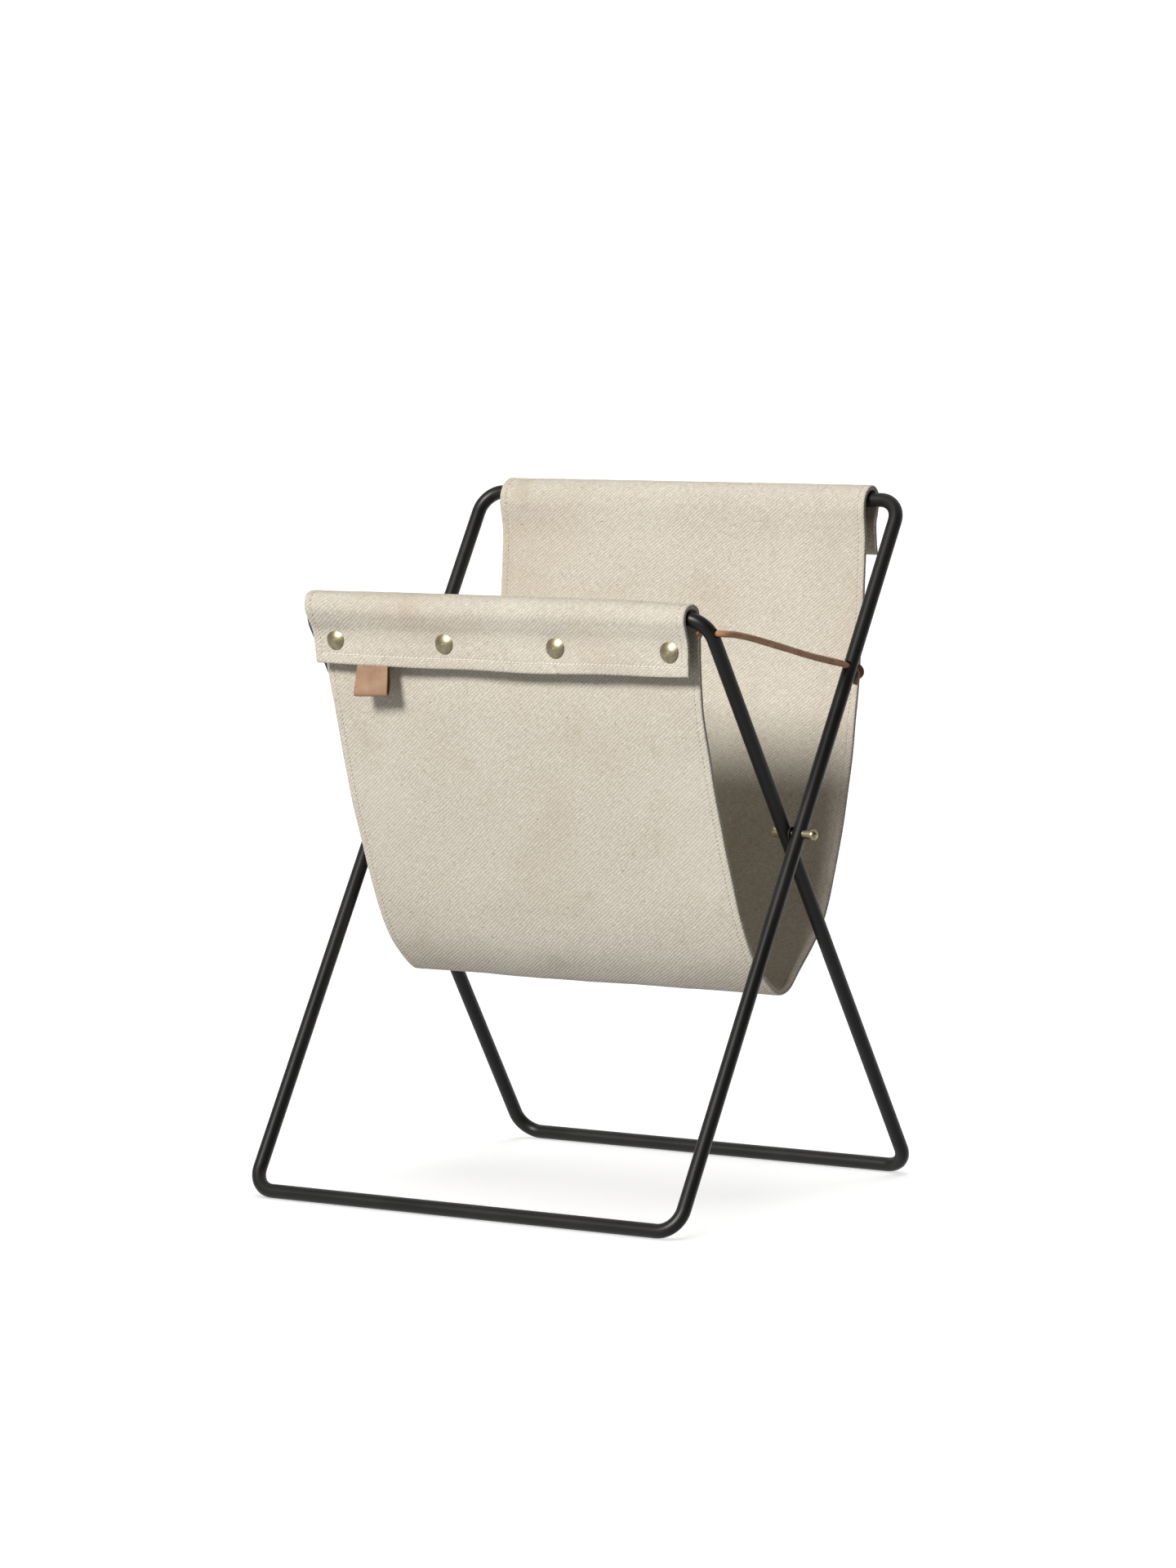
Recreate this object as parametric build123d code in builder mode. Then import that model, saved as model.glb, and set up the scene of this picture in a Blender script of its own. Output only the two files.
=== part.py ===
from build123d import *
import math
import os

# A folding magazine rack: two closed loops of bent round rod cross like scissors on a pair of
# brass connector screws, a two-layer cloth sling hangs between their top bars, and two leather
# cords stop the legs from opening further.
# Frame: X runs along the bars, +Y to the back, +Z up. The origin is on the floor, midway
# between the two bottom bars and between the legs. Units are millimetres.

# ---- Driving dimensions ----
rod_diameter = 9.5
outer_half_width = 170.0  # leg centre lines of the frame whose top bar is at the back
inner_half_width = 159.4  # leg centre lines of the frame whose top bar is in front
corner_radius = 16.0
leg_angle = math.radians(31.67)  # of each frame from the vertical, fully open
leg_below_pivot = 282.8
outer_leg_above = 248.0
inner_leg_above = 171.7

cloth_thickness = 3.4  # two layers, turned and stitched together
layer_gap = 0.2
sling_width = 296.0
crease_gap = 0.9  # left open between the two halves at the bottom crease

post_diameter = 5.0
running_clearance = 0.05  # radial, between the pivot post and the inner frame
fixed_clearance = 0.02  # radial, between the post and what is clamped on it

cord_diameter = 4.4
cord_hole_diameter = 5.6
inner_cord_drop = 11.0  # from the front top bar down to the cord's hole, along the leg
outer_cord_rise = 122.3  # from the pivot up to the cord's hole, along the leg

snap_pitch = 89.0
snap_count = 4
tag_width = 26.0
tag_centre_x = -103.5

# ---- Places worked out from them ----
rod_radius = rod_diameter / 2
lean = Vector(0, math.sin(leg_angle), math.cos(leg_angle))  # up the outer frame's legs
pivot_height = rod_radius + leg_below_pivot * lean.Z
SIDES = {"left": -1, "right": 1}


def on_outer_leg(along):
    """Point (y, z) on an outer leg, so far above the pivot."""
    return along * lean.Y, pivot_height + along * lean.Z


def on_inner_leg(along):
    """Point (y, z) on an inner leg, so far above the pivot."""
    return -along * lean.Y, pivot_height + along * lean.Z


def frame_plane(way):
    """Plane of a frame's centre line, local Y up the legs; way is +1 where it leans back."""
    up = Vector(0, way * lean.Y, lean.Z)
    return Plane(origin=(0, 0, pivot_height), x_dir=(1, 0, 0), z_dir=Vector(1, 0, 0).cross(up))


def write(builder, name):
    """Label a finished piece and write its STEP file."""
    builder.part.label = name
    export_step(builder.part, f"parts/{name}.step")


os.makedirs("parts", exist_ok=True)

# ---- Frames: closed loops of bent rod ----
knot_seat = 4.8  # from an outer leg's centre line to the end face of the cord behind it
cord_hole_y, cord_hole_z = on_outer_leg(outer_cord_rise)
cord_across = Vector(0, lean.Z, -lean.Y)  # square to the outer leg, to the back and down
front_hole_y, front_hole_z = on_inner_leg(inner_leg_above - inner_cord_drop)
bend_height = corner_radius - inner_cord_drop  # of the hole above the end of the corner bend
front_hole_x = (
    inner_half_width - corner_radius + math.sqrt(corner_radius**2 - bend_height**2)
)

collar_diameter = 6.2
outer_seat_x = outer_half_width + 3.6  # flat sunk in the outer leg for the outer collar
inner_seat_x = inner_half_width - 3.6  # flat sunk in the inner leg for the inner collar
seat_depth_past = 3.0


def rod_loop(half_width, above, way):
    """One closed loop of round rod, as a builder."""
    corners = [
        (-half_width, -leg_below_pivot),
        (half_width, -leg_below_pivot),
        (half_width, above),
        (-half_width, above),
    ]
    with BuildPart() as loop:
        with BuildLine(frame_plane(way)) as route:
            FilletPolyline(*corners, radius=corner_radius, close=True)
        start = route.wires()[0]
        with BuildSketch(Plane(origin=start @ 0, z_dir=start % 0)):
            Circle(rod_radius)
        sweep()
    return loop


loop = rod_loop(outer_half_width, outer_leg_above, 1)
with BuildPart() as outer_frame:
    add(loop.part)
    for side in SIDES.values():
        with BuildSketch(Plane.YZ.offset(side * (outer_half_width - rod_radius - 1))):
            with Locations((0, pivot_height)):
                Circle(post_diameter / 2 + fixed_clearance)
        extrude(amount=side * (rod_diameter + 2), mode=Mode.SUBTRACT)
        with BuildSketch(Plane.YZ.offset(side * outer_seat_x)):
            with Locations((0, pivot_height)):
                Circle(collar_diameter / 2 + fixed_clearance)
        extrude(amount=side * seat_depth_past, mode=Mode.SUBTRACT)
        hole_centre = Vector(side * outer_half_width, cord_hole_y, cord_hole_z)
        with BuildSketch(Plane(origin=hole_centre, x_dir=(1, 0, 0), z_dir=cord_across)):
            Circle(cord_hole_diameter / 2)
        extrude(amount=rod_diameter, both=True, mode=Mode.SUBTRACT)
write(outer_frame, "outer_frame")

loop = rod_loop(inner_half_width, inner_leg_above, -1)
with BuildPart() as inner_frame:
    add(loop.part)
    for side in SIDES.values():
        with BuildSketch(Plane.YZ.offset(side * (inner_half_width - rod_radius - 1))):
            with Locations((0, pivot_height)):
                Circle(post_diameter / 2 + running_clearance)
        extrude(amount=side * (rod_diameter + 2), mode=Mode.SUBTRACT)
        with BuildSketch(Plane.YZ.offset(side * inner_seat_x)):
            with Locations((0, pivot_height)):
                Circle(collar_diameter / 2 + 2 * running_clearance)
        extrude(amount=-side * seat_depth_past, mode=Mode.SUBTRACT)
        with BuildSketch(Plane.YZ.offset(side * (front_hole_x - rod_diameter))):
            with Locations((front_hole_y, front_hole_z)):
                Circle(cord_hole_diameter / 2)
        extrude(amount=side * 2 * rod_diameter, mode=Mode.SUBTRACT)
write(inner_frame, "inner_frame")

# ---- Pivots: a headed post, a slotted screw in its end, two collars and a washer ----
head_start_x = 148.6
head_end_x = 150.6
screw_seat_x = 179.6
screw_top_x = 184.0
screw_bore_end_x = 168.0
screw_radius = 1.5
post_head_radius = 3.7
screw_head_radius = 3.6
slot_width = 0.7
slot_depth = 0.9
washer_radius = 4.7
washer_clearance = 0.1
washer_start_x = inner_half_width + rod_radius + washer_clearance
washer_end_x = outer_half_width - rod_radius - washer_clearance


def axis_plane(side):
    """Plane through the pivot axis: local X outwards along it, local Y up."""
    return Plane(origin=(0, 0, pivot_height), x_dir=(side, 0, 0), z_dir=(0, -side, 0))


def pivot_axis(side):
    """The pivot's own axis, outwards."""
    return Axis((0, 0, pivot_height), (side, 0, 0))


def dome_middle(radius, rim, crown):
    """Middle point (height, radius) of a spherical dome's arc, from its rim to its crown."""
    rise = crown - rim
    sphere = (radius**2 + rise**2) / (2 * rise)
    half_angle = math.asin(radius / abs(sphere)) / 2
    centre = crown - sphere
    return centre + sphere * math.cos(half_angle), abs(sphere) * math.sin(half_angle)


def ring(side, start, end, inner_radius, outer_radius):
    """A plain ring on the pivot axis between two X stations, as a builder."""
    with BuildPart() as made:
        with BuildSketch(Plane.YZ.offset(side * start)):
            with Locations((0, pivot_height)):
                Circle(outer_radius)
                Circle(inner_radius, mode=Mode.SUBTRACT)
        extrude(amount=side * (end - start))
    return made


for side_name, side in SIDES.items():
    with BuildPart() as pivot_post:
        with BuildSketch(axis_plane(side)):
            with BuildLine():
                Polyline(
                    (screw_bore_end_x, 0),
                    (screw_bore_end_x, screw_radius),
                    (screw_seat_x, screw_radius),
                    (screw_seat_x, post_diameter / 2),
                    (head_end_x, post_diameter / 2),
                    (head_end_x, post_head_radius),
                )
                ThreePointArc(
                    (head_end_x, post_head_radius),
                    dome_middle(post_head_radius, head_end_x, head_start_x),
                    (head_start_x, 0),
                )
                Line((head_start_x, 0), (screw_bore_end_x, 0))
            make_face()
        revolve(axis=pivot_axis(side))
    write(pivot_post, f"pivot_post_{side_name}")

    with BuildPart() as pivot_screw:
        with BuildSketch(axis_plane(side)):
            with BuildLine():
                Polyline(
                    (screw_bore_end_x + 1, 0),
                    (screw_bore_end_x + 1, screw_radius - fixed_clearance),
                    (screw_seat_x, screw_radius - fixed_clearance),
                    (screw_seat_x, screw_head_radius),
                    (screw_seat_x + 1.2, screw_head_radius),
                )
                ThreePointArc(
                    (screw_seat_x + 1.2, screw_head_radius),
                    dome_middle(screw_head_radius, screw_seat_x + 1.2, screw_top_x),
                    (screw_top_x, 0),
                )
                Line((screw_top_x, 0), (screw_bore_end_x + 1, 0))
            make_face()
        revolve(axis=pivot_axis(side))
        with BuildSketch(Plane.YZ.offset(side * screw_top_x)):
            with Locations((0, pivot_height)):
                Rectangle(3 * screw_head_radius, slot_width)
        extrude(amount=-side * slot_depth, mode=Mode.SUBTRACT)
    write(pivot_screw, f"pivot_screw_{side_name}")

    clamped = post_diameter / 2 + fixed_clearance
    collar = ring(side, outer_seat_x, screw_seat_x, clamped, collar_diameter / 2)
    write(collar, f"pivot_outer_collar_{side_name}")
    inner_collar_end = inner_seat_x - washer_clearance
    collar = ring(side, head_end_x, inner_collar_end, clamped, collar_diameter / 2)
    write(collar, f"pivot_inner_collar_{side_name}")
    washer = ring(side, washer_start_x, washer_end_x, clamped, washer_radius)
    write(washer, f"pivot_washer_{side_name}")

# ---- Sling: the middle line of the cloth, in (y, z), from the bottom crease to the flap's hem ----
# It rises in a curve, stands upright where the snaps are, loops over the bar and comes down
# straight again as a flap. The crease axis is just under the pouch-side face of the cloth.
front_bar_y, front_bar_z = on_inner_leg(inner_leg_above)
back_bar_y, back_bar_z = on_outer_leg(outer_leg_above)
crease_middle = Vector(-0.66, 143.96)
crease_way = Vector(-17.7, 12.1).normalized()
front_start = crease_middle + crease_way * (crease_gap / 2)
back_start = crease_middle - crease_way * (crease_gap / 2)
front_panel_y = -80.4
front_flap_y = -92.6
front_snap_z = 370.0
front_hem_z = 354.0
back_panel_y = 120.7
back_flap_y = 132.9
back_snap_z = 435.0
back_hem_z = 419.5
front_rise = [
    (front_start.X, front_start.Y),
    (-17.2, 160.0),
    (-33.0, 188.0),
    (-46.3, 223.0),
    (-59.2, 260.0),
    (-69.6, 296.0),
    (-77.4, 330.0),
    (front_panel_y, front_snap_z - 8.0),
]
front_loop = [
    (front_panel_y, front_snap_z + 12.0),
    (front_bar_y + 7.0, front_bar_z + 6.2),
    (front_bar_y, front_bar_z + 9.2),
    (front_bar_y - 8.0, front_bar_z + 6.8),
    (front_bar_y - 11.9, front_bar_z - 1.2),
    (front_bar_y - 9.6, front_bar_z - 8.2),
    (front_flap_y, front_snap_z + 6.6),
]
back_rise = [
    (back_start.X, back_start.Y),
    (9.0, 138.4),
    (20.0, 140.0),
    (33.2, 151.0),
    (52.0, 167.5),
    (65.5, 184.0),
    (78.6, 214.5),
    (88.2, 243.0),
    (97.2, 273.5),
    (104.2, 303.0),
    (109.8, 334.0),
    (117.0, 390.0),
    (back_panel_y, back_snap_z - 8.0),
]
back_loop = [
    (back_panel_y, back_snap_z + 10.0),
    (back_bar_y - 7.2, back_bar_z + 4.0),
    (back_bar_y, back_bar_z + 8.3),
    (back_bar_y + 5.6, back_bar_z + 5.6),
    (back_bar_y + 7.2, back_bar_z - 1.5),
    (back_bar_y + 5.8, back_bar_z - 9.5),
    (back_flap_y, back_snap_z + 6.6),
]
outline_steps = 28
UP = (0, 1)
DOWN = (0, -1)


def smooth(points, ways):
    """A spline through points, its end tangents as long as unit steps along it."""
    return Spline(*points, tangents=ways, tangent_scalars=(1.0, 1.0))


def beside(middle, ways, distance):
    """Points that follow a smooth line at a distance to its left, seen from +X."""
    line = smooth(middle, ways)
    points = []
    for step in range(outline_steps + 1):
        share = step / outline_steps
        tangent = line % share
        normal = Vector(-tangent.Y, tangent.X)
        points.append(line @ share + normal * distance)
    return points


def cloth_layer(rise, first_way, loop_over, hem_z, near, far):
    """One layer of the sling between two distances from its middle line, as a builder."""
    rise_ways = (first_way, UP)
    loop_ways = (UP, DOWN)
    near_rise = beside(rise, rise_ways, near)
    near_loop = beside(loop_over, loop_ways, near)
    far_rise = beside(rise, rise_ways, far)
    far_loop = beside(loop_over, loop_ways, far)
    flap_y = loop_over[-1][0]
    near_hem = (flap_y + near, hem_z)
    far_hem = (flap_y + far, hem_z)
    with BuildPart() as layer:
        with BuildSketch(Plane.YZ):
            with BuildLine():
                smooth(near_rise, rise_ways)
                Line(near_rise[-1], near_loop[0])
                smooth(near_loop, loop_ways)
                Polyline(near_loop[-1], near_hem, far_hem, far_loop[-1])
                smooth(far_loop, loop_ways)
                Line(far_loop[0], far_rise[-1])
                smooth(far_rise, rise_ways)
                Line(far_rise[0], near_rise[0])
            make_face()
        extrude(amount=sling_width / 2, both=True)
    return layer


# ---- Snap fasteners: cap and socket on each flap, stud and post on each panel ----
cap_radius = 7.0
cap_height = 3.1
cap_rim = 0.8
shank_radius = 1.5
socket_radius = 5.75
socket_height = 4.2
socket_bore_radius = 3.5
socket_bore_depth = 2.8
stud_flange_radius = 5.75
stud_flange_height = 1.0
stud_radius = 3.2
post_disc_radius = 4.5
post_disc_thickness = 0.5
hole_clearance = 0.15
snap_spots = [snap_pitch * (n - (snap_count - 1) / 2) for n in range(snap_count)]


def snap_plane(out, y, x, z):
    """Plane square to a flap at one snap, its normal outwards; out is -1 in front, +1 behind."""
    return Plane(origin=(x, y, z), x_dir=(1, 0, 0), z_dir=(0, out, 0))


def turned(outline, crown=None):
    """A solid turned about Z from (radius, height) points, with a domed top if crown is given."""
    with BuildPart() as made:
        with BuildSketch(Plane.XZ):
            with BuildLine():
                Polyline(*outline)
                if crown is None:
                    Line(outline[-1], outline[0])
                else:
                    radius, rim = outline[-1]
                    height, across = dome_middle(radius, rim, crown)
                    ThreePointArc((radius, rim), (across, height), (0, crown))
                    Line((0, crown), outline[0])
            make_face()
        revolve(axis=Axis.Z)
    return made.part


def snap_row(piece, out, y, z):
    """The same turned piece at every snap of a row, as a builder."""
    with BuildPart() as row:
        with Locations(*[snap_plane(out, y, x, z) for x in snap_spots]):
            add(piece)
    return row


front_way = (crease_way.X, crease_way.Y)
back_way = (-crease_way.X, -crease_way.Y)
halves = [
    ("front", -1, front_rise, front_way, front_loop, front_hem_z, front_snap_z),
    ("back", 1, back_rise, back_way, back_loop, back_hem_z, back_snap_z),
]
half_cloth = cloth_thickness / 2
half_gap = layer_gap / 2
for half_name, out, rise, first_way, loop_over, hem_z, snap_z in halves:
    panel_y = rise[-1][0]
    flap_y = loop_over[-1][0]
    panel_face = panel_y + out * half_cloth
    flap_inside = flap_y - out * half_cloth
    flap_outside = flap_y + out * half_cloth
    disc_y = panel_y - out * post_disc_thickness / 2
    pocket = post_disc_thickness + 2 * hole_clearance
    for layer_name, near, far in (
        ("outer_cloth", -out * half_gap, -out * half_cloth),
        ("lining", out * half_gap, out * half_cloth),
    ):
        layer = cloth_layer(rise, first_way, loop_over, hem_z, near, far)
        with BuildPart() as cloth:
            add(layer.part)
            for x in snap_spots:
                with BuildSketch(snap_plane(out, flap_inside - out, x, snap_z)):
                    Circle(shank_radius + hole_clearance)
                extrude(amount=cloth_thickness + 2, mode=Mode.SUBTRACT)
                with BuildSketch(snap_plane(out, disc_y - out * hole_clearance, x, snap_z)):
                    Circle(post_disc_radius + hole_clearance)
                extrude(amount=pocket, mode=Mode.SUBTRACT)
                with BuildSketch(snap_plane(out, disc_y, x, snap_z)):
                    Circle(shank_radius + hole_clearance)
                extrude(amount=half_cloth + 1, mode=Mode.SUBTRACT)
        write(cloth, f"sling_{half_name}_{layer_name}")

    shank_end = -cloth_thickness - 1.2
    cap = turned(
        [
            (0, shank_end),
            (shank_radius, shank_end),
            (shank_radius, 0),
            (cap_radius - 0.4, 0),
            (cap_radius, cap_rim),
        ],
        crown=cap_height,
    )
    write(snap_row(cap, out, flap_outside, snap_z), f"{half_name}_snap_caps")

    bore_floor = -socket_height + socket_bore_depth
    socket = turned(
        [
            (shank_radius, 0),
            (socket_radius - 0.6, 0),
            (socket_radius, -0.6),
            (socket_radius, -socket_height + 0.8),
            (socket_radius - 0.8, -socket_height),
            (socket_bore_radius, -socket_height),
            (socket_bore_radius, bore_floor),
            (shank_radius, bore_floor),
        ]
    )
    write(snap_row(socket, out, flap_inside, snap_z), f"{half_name}_snap_sockets")

    gap = abs(flap_inside - panel_face)
    stud_height = gap - socket_height + socket_bore_depth - 0.3
    stud = turned(
        [
            (shank_radius, 0),
            (stud_flange_radius, 0),
            (stud_flange_radius, stud_flange_height - 0.3),
            (stud_flange_radius - 0.5, stud_flange_height),
            (stud_radius - 0.5, stud_flange_height),
            (stud_radius - 0.5, stud_height - 1.8),
            (stud_radius, stud_height - 1.0),
            (stud_radius - 0.7, stud_height),
            (shank_radius, stud_height),
        ]
    )
    write(snap_row(stud, out, panel_face, snap_z), f"{half_name}_snap_studs")

    post_top = half_cloth + post_disc_thickness / 2 + 2.0
    post = turned(
        [
            (0, 0),
            (post_disc_radius, 0),
            (post_disc_radius, post_disc_thickness),
            (shank_radius - fixed_clearance, post_disc_thickness),
            (shank_radius - fixed_clearance, post_top),
            (0, post_top),
        ]
    )
    write(snap_row(post, out, disc_y, snap_z), f"{half_name}_snap_posts")

# ---- Leather tag: a folded loop that hangs from the front flap's hem ----
tag_ply = 1.5
tag_drop = 20.5
tag_top_z = front_hem_z - 0.1
tag_bend = tag_ply + 0.1
with BuildPart() as leather_tag:
    with BuildSketch(Plane.YZ.offset(tag_centre_x)):
        with BuildLine():
            Polyline(
                (front_flap_y - 0.1, tag_top_z),
                (front_flap_y - tag_bend, tag_top_z),
                (front_flap_y - tag_bend, tag_top_z - tag_drop + tag_bend),
            )
            ThreePointArc(
                (front_flap_y - tag_bend, tag_top_z - tag_drop + tag_bend),
                (front_flap_y, tag_top_z - tag_drop),
                (front_flap_y + tag_bend, tag_top_z - tag_drop + tag_bend),
            )
            Polyline(
                (front_flap_y + tag_bend, tag_top_z - tag_drop + tag_bend),
                (front_flap_y + tag_bend, tag_top_z),
                (front_flap_y + 0.1, tag_top_z),
                (front_flap_y + 0.1, tag_top_z - tag_drop + tag_bend),
                (front_flap_y - 0.1, tag_top_z - tag_drop + tag_bend),
                (front_flap_y - 0.1, tag_top_z),
            )
        make_face()
    extrude(amount=tag_width / 2, both=True)
write(leather_tag, "leather_tag")

# ---- Tie cords: through the inner leg from side to side, back to the outer leg, knotted ----
cord_start_x = front_hole_x - rod_radius - 0.05
cord_hole = Vector(outer_half_width, cord_hole_y, cord_hole_z)
cord_entry = cord_hole - cord_across * 4.3
cord_end = cord_hole + cord_across * knot_seat
# Route of the right-hand cord; the left-hand one is its mirror image.
cord_route = [
    (cord_start_x, front_hole_y, front_hole_z),
    (166.9, front_hole_y, front_hole_z),
    (167.4, -63.0, 379.9),
    (168.1, -24.0, 370.9),
    (169.0, 20.0, 360.0),
    (169.6, 47.0, 354.6),
    (cord_entry.X, cord_entry.Y, cord_entry.Z),
    (cord_end.X, cord_end.Y, cord_end.Z),
]


def corner_radii(points):
    """The largest even bend at each corner: 0.45 of the shorter run over the half turn."""
    radii = []
    for before, here, after in zip(points, points[1:], points[2:]):
        arriving = Vector(*here) - Vector(*before)
        leaving = Vector(*after) - Vector(*here)
        half_turn = math.radians(arriving.get_angle(leaving)) / 2
        radii.append(0.45 * min(arriving.length, leaving.length) / math.tan(half_turn))
    return radii


exit_bend_radius = cord_diameter  # the cord turns hard against the side of the inner leg
bend_radii = corner_radii(cord_route)
bend_radii[0] = exit_bend_radius
print("cord bend radii", [round(radius, 1) for radius in bend_radii])

knot_length = 7.0
knot_half_width = 4.4
knot_centre = knot_seat + knot_half_width + 0.2
front_knot_radius = 3.3
front_knot_half = 1.65
front_knot_neck = 2.0

for side_name, side in SIDES.items():
    route_points = [(side * x, y, z) for x, y, z in cord_route]
    with BuildPart() as tie_cord:
        with BuildLine() as route:
            FilletPolyline(*route_points, radius=bend_radii)
        wire = route.wires()[0]
        with BuildSketch(Plane(origin=wire @ 0, z_dir=wire % 0)):
            Circle(cord_diameter / 2)
        sweep()
    section = math.pi * cord_diameter**2 / 4
    print("cord length", round(wire.length, 2), "by volume", round(tie_cord.part.volume / section, 2))
    write(tie_cord, f"tie_cord_{side_name}")

    hole_centre = Vector(side * outer_half_width, cord_hole_y, cord_hole_z)
    with BuildPart() as rear_knot:
        middle_of_knot = hole_centre + cord_across * knot_centre
        with BuildSketch(Plane(origin=middle_of_knot - lean * knot_length, z_dir=lean)):
            Circle(knot_half_width)
        extrude(amount=2 * knot_length)
        fillet(rear_knot.edges().filter_by(GeomType.CIRCLE), knot_half_width - 0.2)
        seat = hole_centre + cord_across * knot_seat
        with BuildSketch(Plane(origin=seat, x_dir=(1, 0, 0), z_dir=cord_across)):
            Circle(cord_diameter / 2)
        extrude(amount=knot_half_width)
    write(rear_knot, f"cord_rear_knot_{side_name}")

    with BuildPart() as front_knot:
        knot_x = cord_start_x - front_knot_half - front_knot_neck
        with BuildSketch(Plane.YZ.offset(side * (knot_x - front_knot_half))):
            with Locations((front_hole_y, front_hole_z)):
                Circle(front_knot_radius)
        extrude(amount=side * 2 * front_knot_half)
        fillet(front_knot.edges().filter_by(GeomType.CIRCLE), front_knot_half - 0.3)
        with BuildSketch(Plane.YZ.offset(side * knot_x)):
            with Locations((front_hole_y, front_hole_z)):
                Circle(cord_diameter / 2)
        extrude(amount=side * (cord_start_x - knot_x))
    write(front_knot, f"cord_front_knot_{side_name}")
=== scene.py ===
"""A folding magazine rack: two bent-rod frames, a two-layer cloth sling and two leather cords.

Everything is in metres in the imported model's frame: X along the bars, +Y to the back, +Z up.
"""

import math

import bpy
import numpy as np
from mathutils import Matrix, Vector, noise


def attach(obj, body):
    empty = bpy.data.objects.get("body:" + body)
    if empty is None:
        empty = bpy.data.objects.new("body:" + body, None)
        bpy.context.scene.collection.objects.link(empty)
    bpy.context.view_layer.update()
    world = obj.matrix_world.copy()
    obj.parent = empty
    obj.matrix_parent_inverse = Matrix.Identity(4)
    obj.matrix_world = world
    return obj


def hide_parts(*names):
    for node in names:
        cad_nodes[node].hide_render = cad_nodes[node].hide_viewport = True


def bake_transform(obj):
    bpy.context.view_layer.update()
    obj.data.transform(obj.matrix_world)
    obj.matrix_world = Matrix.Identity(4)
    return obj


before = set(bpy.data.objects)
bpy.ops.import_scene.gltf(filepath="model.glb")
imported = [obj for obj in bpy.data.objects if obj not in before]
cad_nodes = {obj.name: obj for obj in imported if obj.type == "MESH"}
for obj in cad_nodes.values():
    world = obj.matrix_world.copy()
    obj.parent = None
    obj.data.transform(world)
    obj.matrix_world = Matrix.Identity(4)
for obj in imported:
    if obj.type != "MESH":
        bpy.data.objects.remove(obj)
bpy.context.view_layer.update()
scene = bpy.context.scene
MM = 0.001
SIDES = {"left": -1, "right": 1}


# ---- Small helpers ----
def new_object(name, data):
    made = bpy.data.objects.new(name, data)
    scene.collection.objects.link(made)
    return made


def mesh_object(name, points, faces, uvs=None):
    """A smooth-shaded object from points and faces; uvs holds a texture place for each point."""
    mesh = bpy.data.meshes.new(name)
    mesh.from_pydata([tuple(p) for p in points], [], faces)
    if uvs is not None:
        layer = mesh.uv_layers.new(name="cloth")
        corner_of = np.array([index for face in faces for index in face])
        layer.data.foreach_set("uv", np.asarray(uvs)[corner_of].ravel())
    mesh.polygons.foreach_set("use_smooth", [True] * len(mesh.polygons))
    mesh.update()
    return new_object(name, mesh)


def evaluated_mesh(piece):
    """A new mesh of the piece as it shows: its curve or its modifiers worked out."""
    bpy.context.view_layer.update()
    graph = bpy.context.evaluated_depsgraph_get()
    return bpy.data.meshes.new_from_object(piece.evaluated_get(graph))


def wobble(x, y, scale, seed=0.0):
    """Smooth noise from about -1 to 1 over a plane, its lumps about scale metres wide."""
    return noise.noise(Vector((x / scale, y / scale, seed)))


# ---- Camera ----
def add_camera(yaw, pitch, roll, distance, across, height, lens, film_width):
    """A camera that looks at (0, 0, 0) from yaw right of the front, then slides in its own plane.

    Angles are in degrees, distances in metres, the lens and the film in millimetres.
    """
    yaw, pitch, roll = (math.radians(angle) for angle in (yaw, pitch, roll))
    right = Vector((math.cos(yaw), math.sin(yaw), 0))
    back = Vector((math.sin(yaw) * math.cos(pitch), -math.cos(yaw) * math.cos(pitch), math.sin(pitch)))
    up = back.cross(right)
    spin = Matrix.Rotation(roll, 3, back)
    data = bpy.data.cameras.new("camera")
    data.lens = lens
    data.sensor_width = film_width
    camera = new_object("camera", data)
    turned = Matrix((spin @ right, spin @ up, back)).transposed()
    place = back * distance + right * across + up * height
    camera.matrix_world = Matrix.Translation(place) @ turned.to_4x4()
    scene.camera = camera


add_camera(
    yaw=34.665,
    pitch=5.667,
    roll=-0.782,
    distance=4.06412,
    across=0.002835,
    height=0.26935,
    lens=138.956,
    film_width=36,
)


# ---- Leather cords and their knots ----
cord_diameter = 4.4 * MM
# Route of the right-hand cord, from inside the inner leg to behind the outer leg.
cord_route = [
    (0.15380, -0.08437, 0.38221),
    (0.16690, -0.08437, 0.38221),
    (0.16740, -0.06300, 0.37990),
    (0.16810, -0.02400, 0.37090),
    (0.16900, 0.02000, 0.36000),
    (0.16960, 0.04700, 0.35460),
    (0.17000, 0.06055, 0.35179),
    (0.17000, 0.06830, 0.34701),
]
leg_angle = math.radians(31.67)
lean = Vector((0, math.sin(leg_angle), math.cos(leg_angle)))
cord_across = Vector((0, lean.z, -lean.y))
cord_uneven = 0.045
lump_length = 6 * MM
twist = 90  # radians along each metre


def route_points(name, route):
    """Points along the smooth line that a route's points control."""
    curve = bpy.data.curves.new(name, "CURVE")
    curve.dimensions = "3D"
    spline = curve.splines.new("NURBS")
    spline.points.add(len(route) - 1)
    for control, place in zip(spline.points, route):
        control.co = (*place, 1)
    spline.order_u = 3
    spline.use_endpoint_u = True
    spline.resolution_u = 14
    carrier = new_object(name, curve)
    line = evaluated_mesh(carrier)
    points = [vertex.co.copy() for vertex in line.vertices]
    bpy.data.objects.remove(carrier)
    bpy.data.meshes.remove(line)
    bpy.data.curves.remove(curve)
    return points


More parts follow.
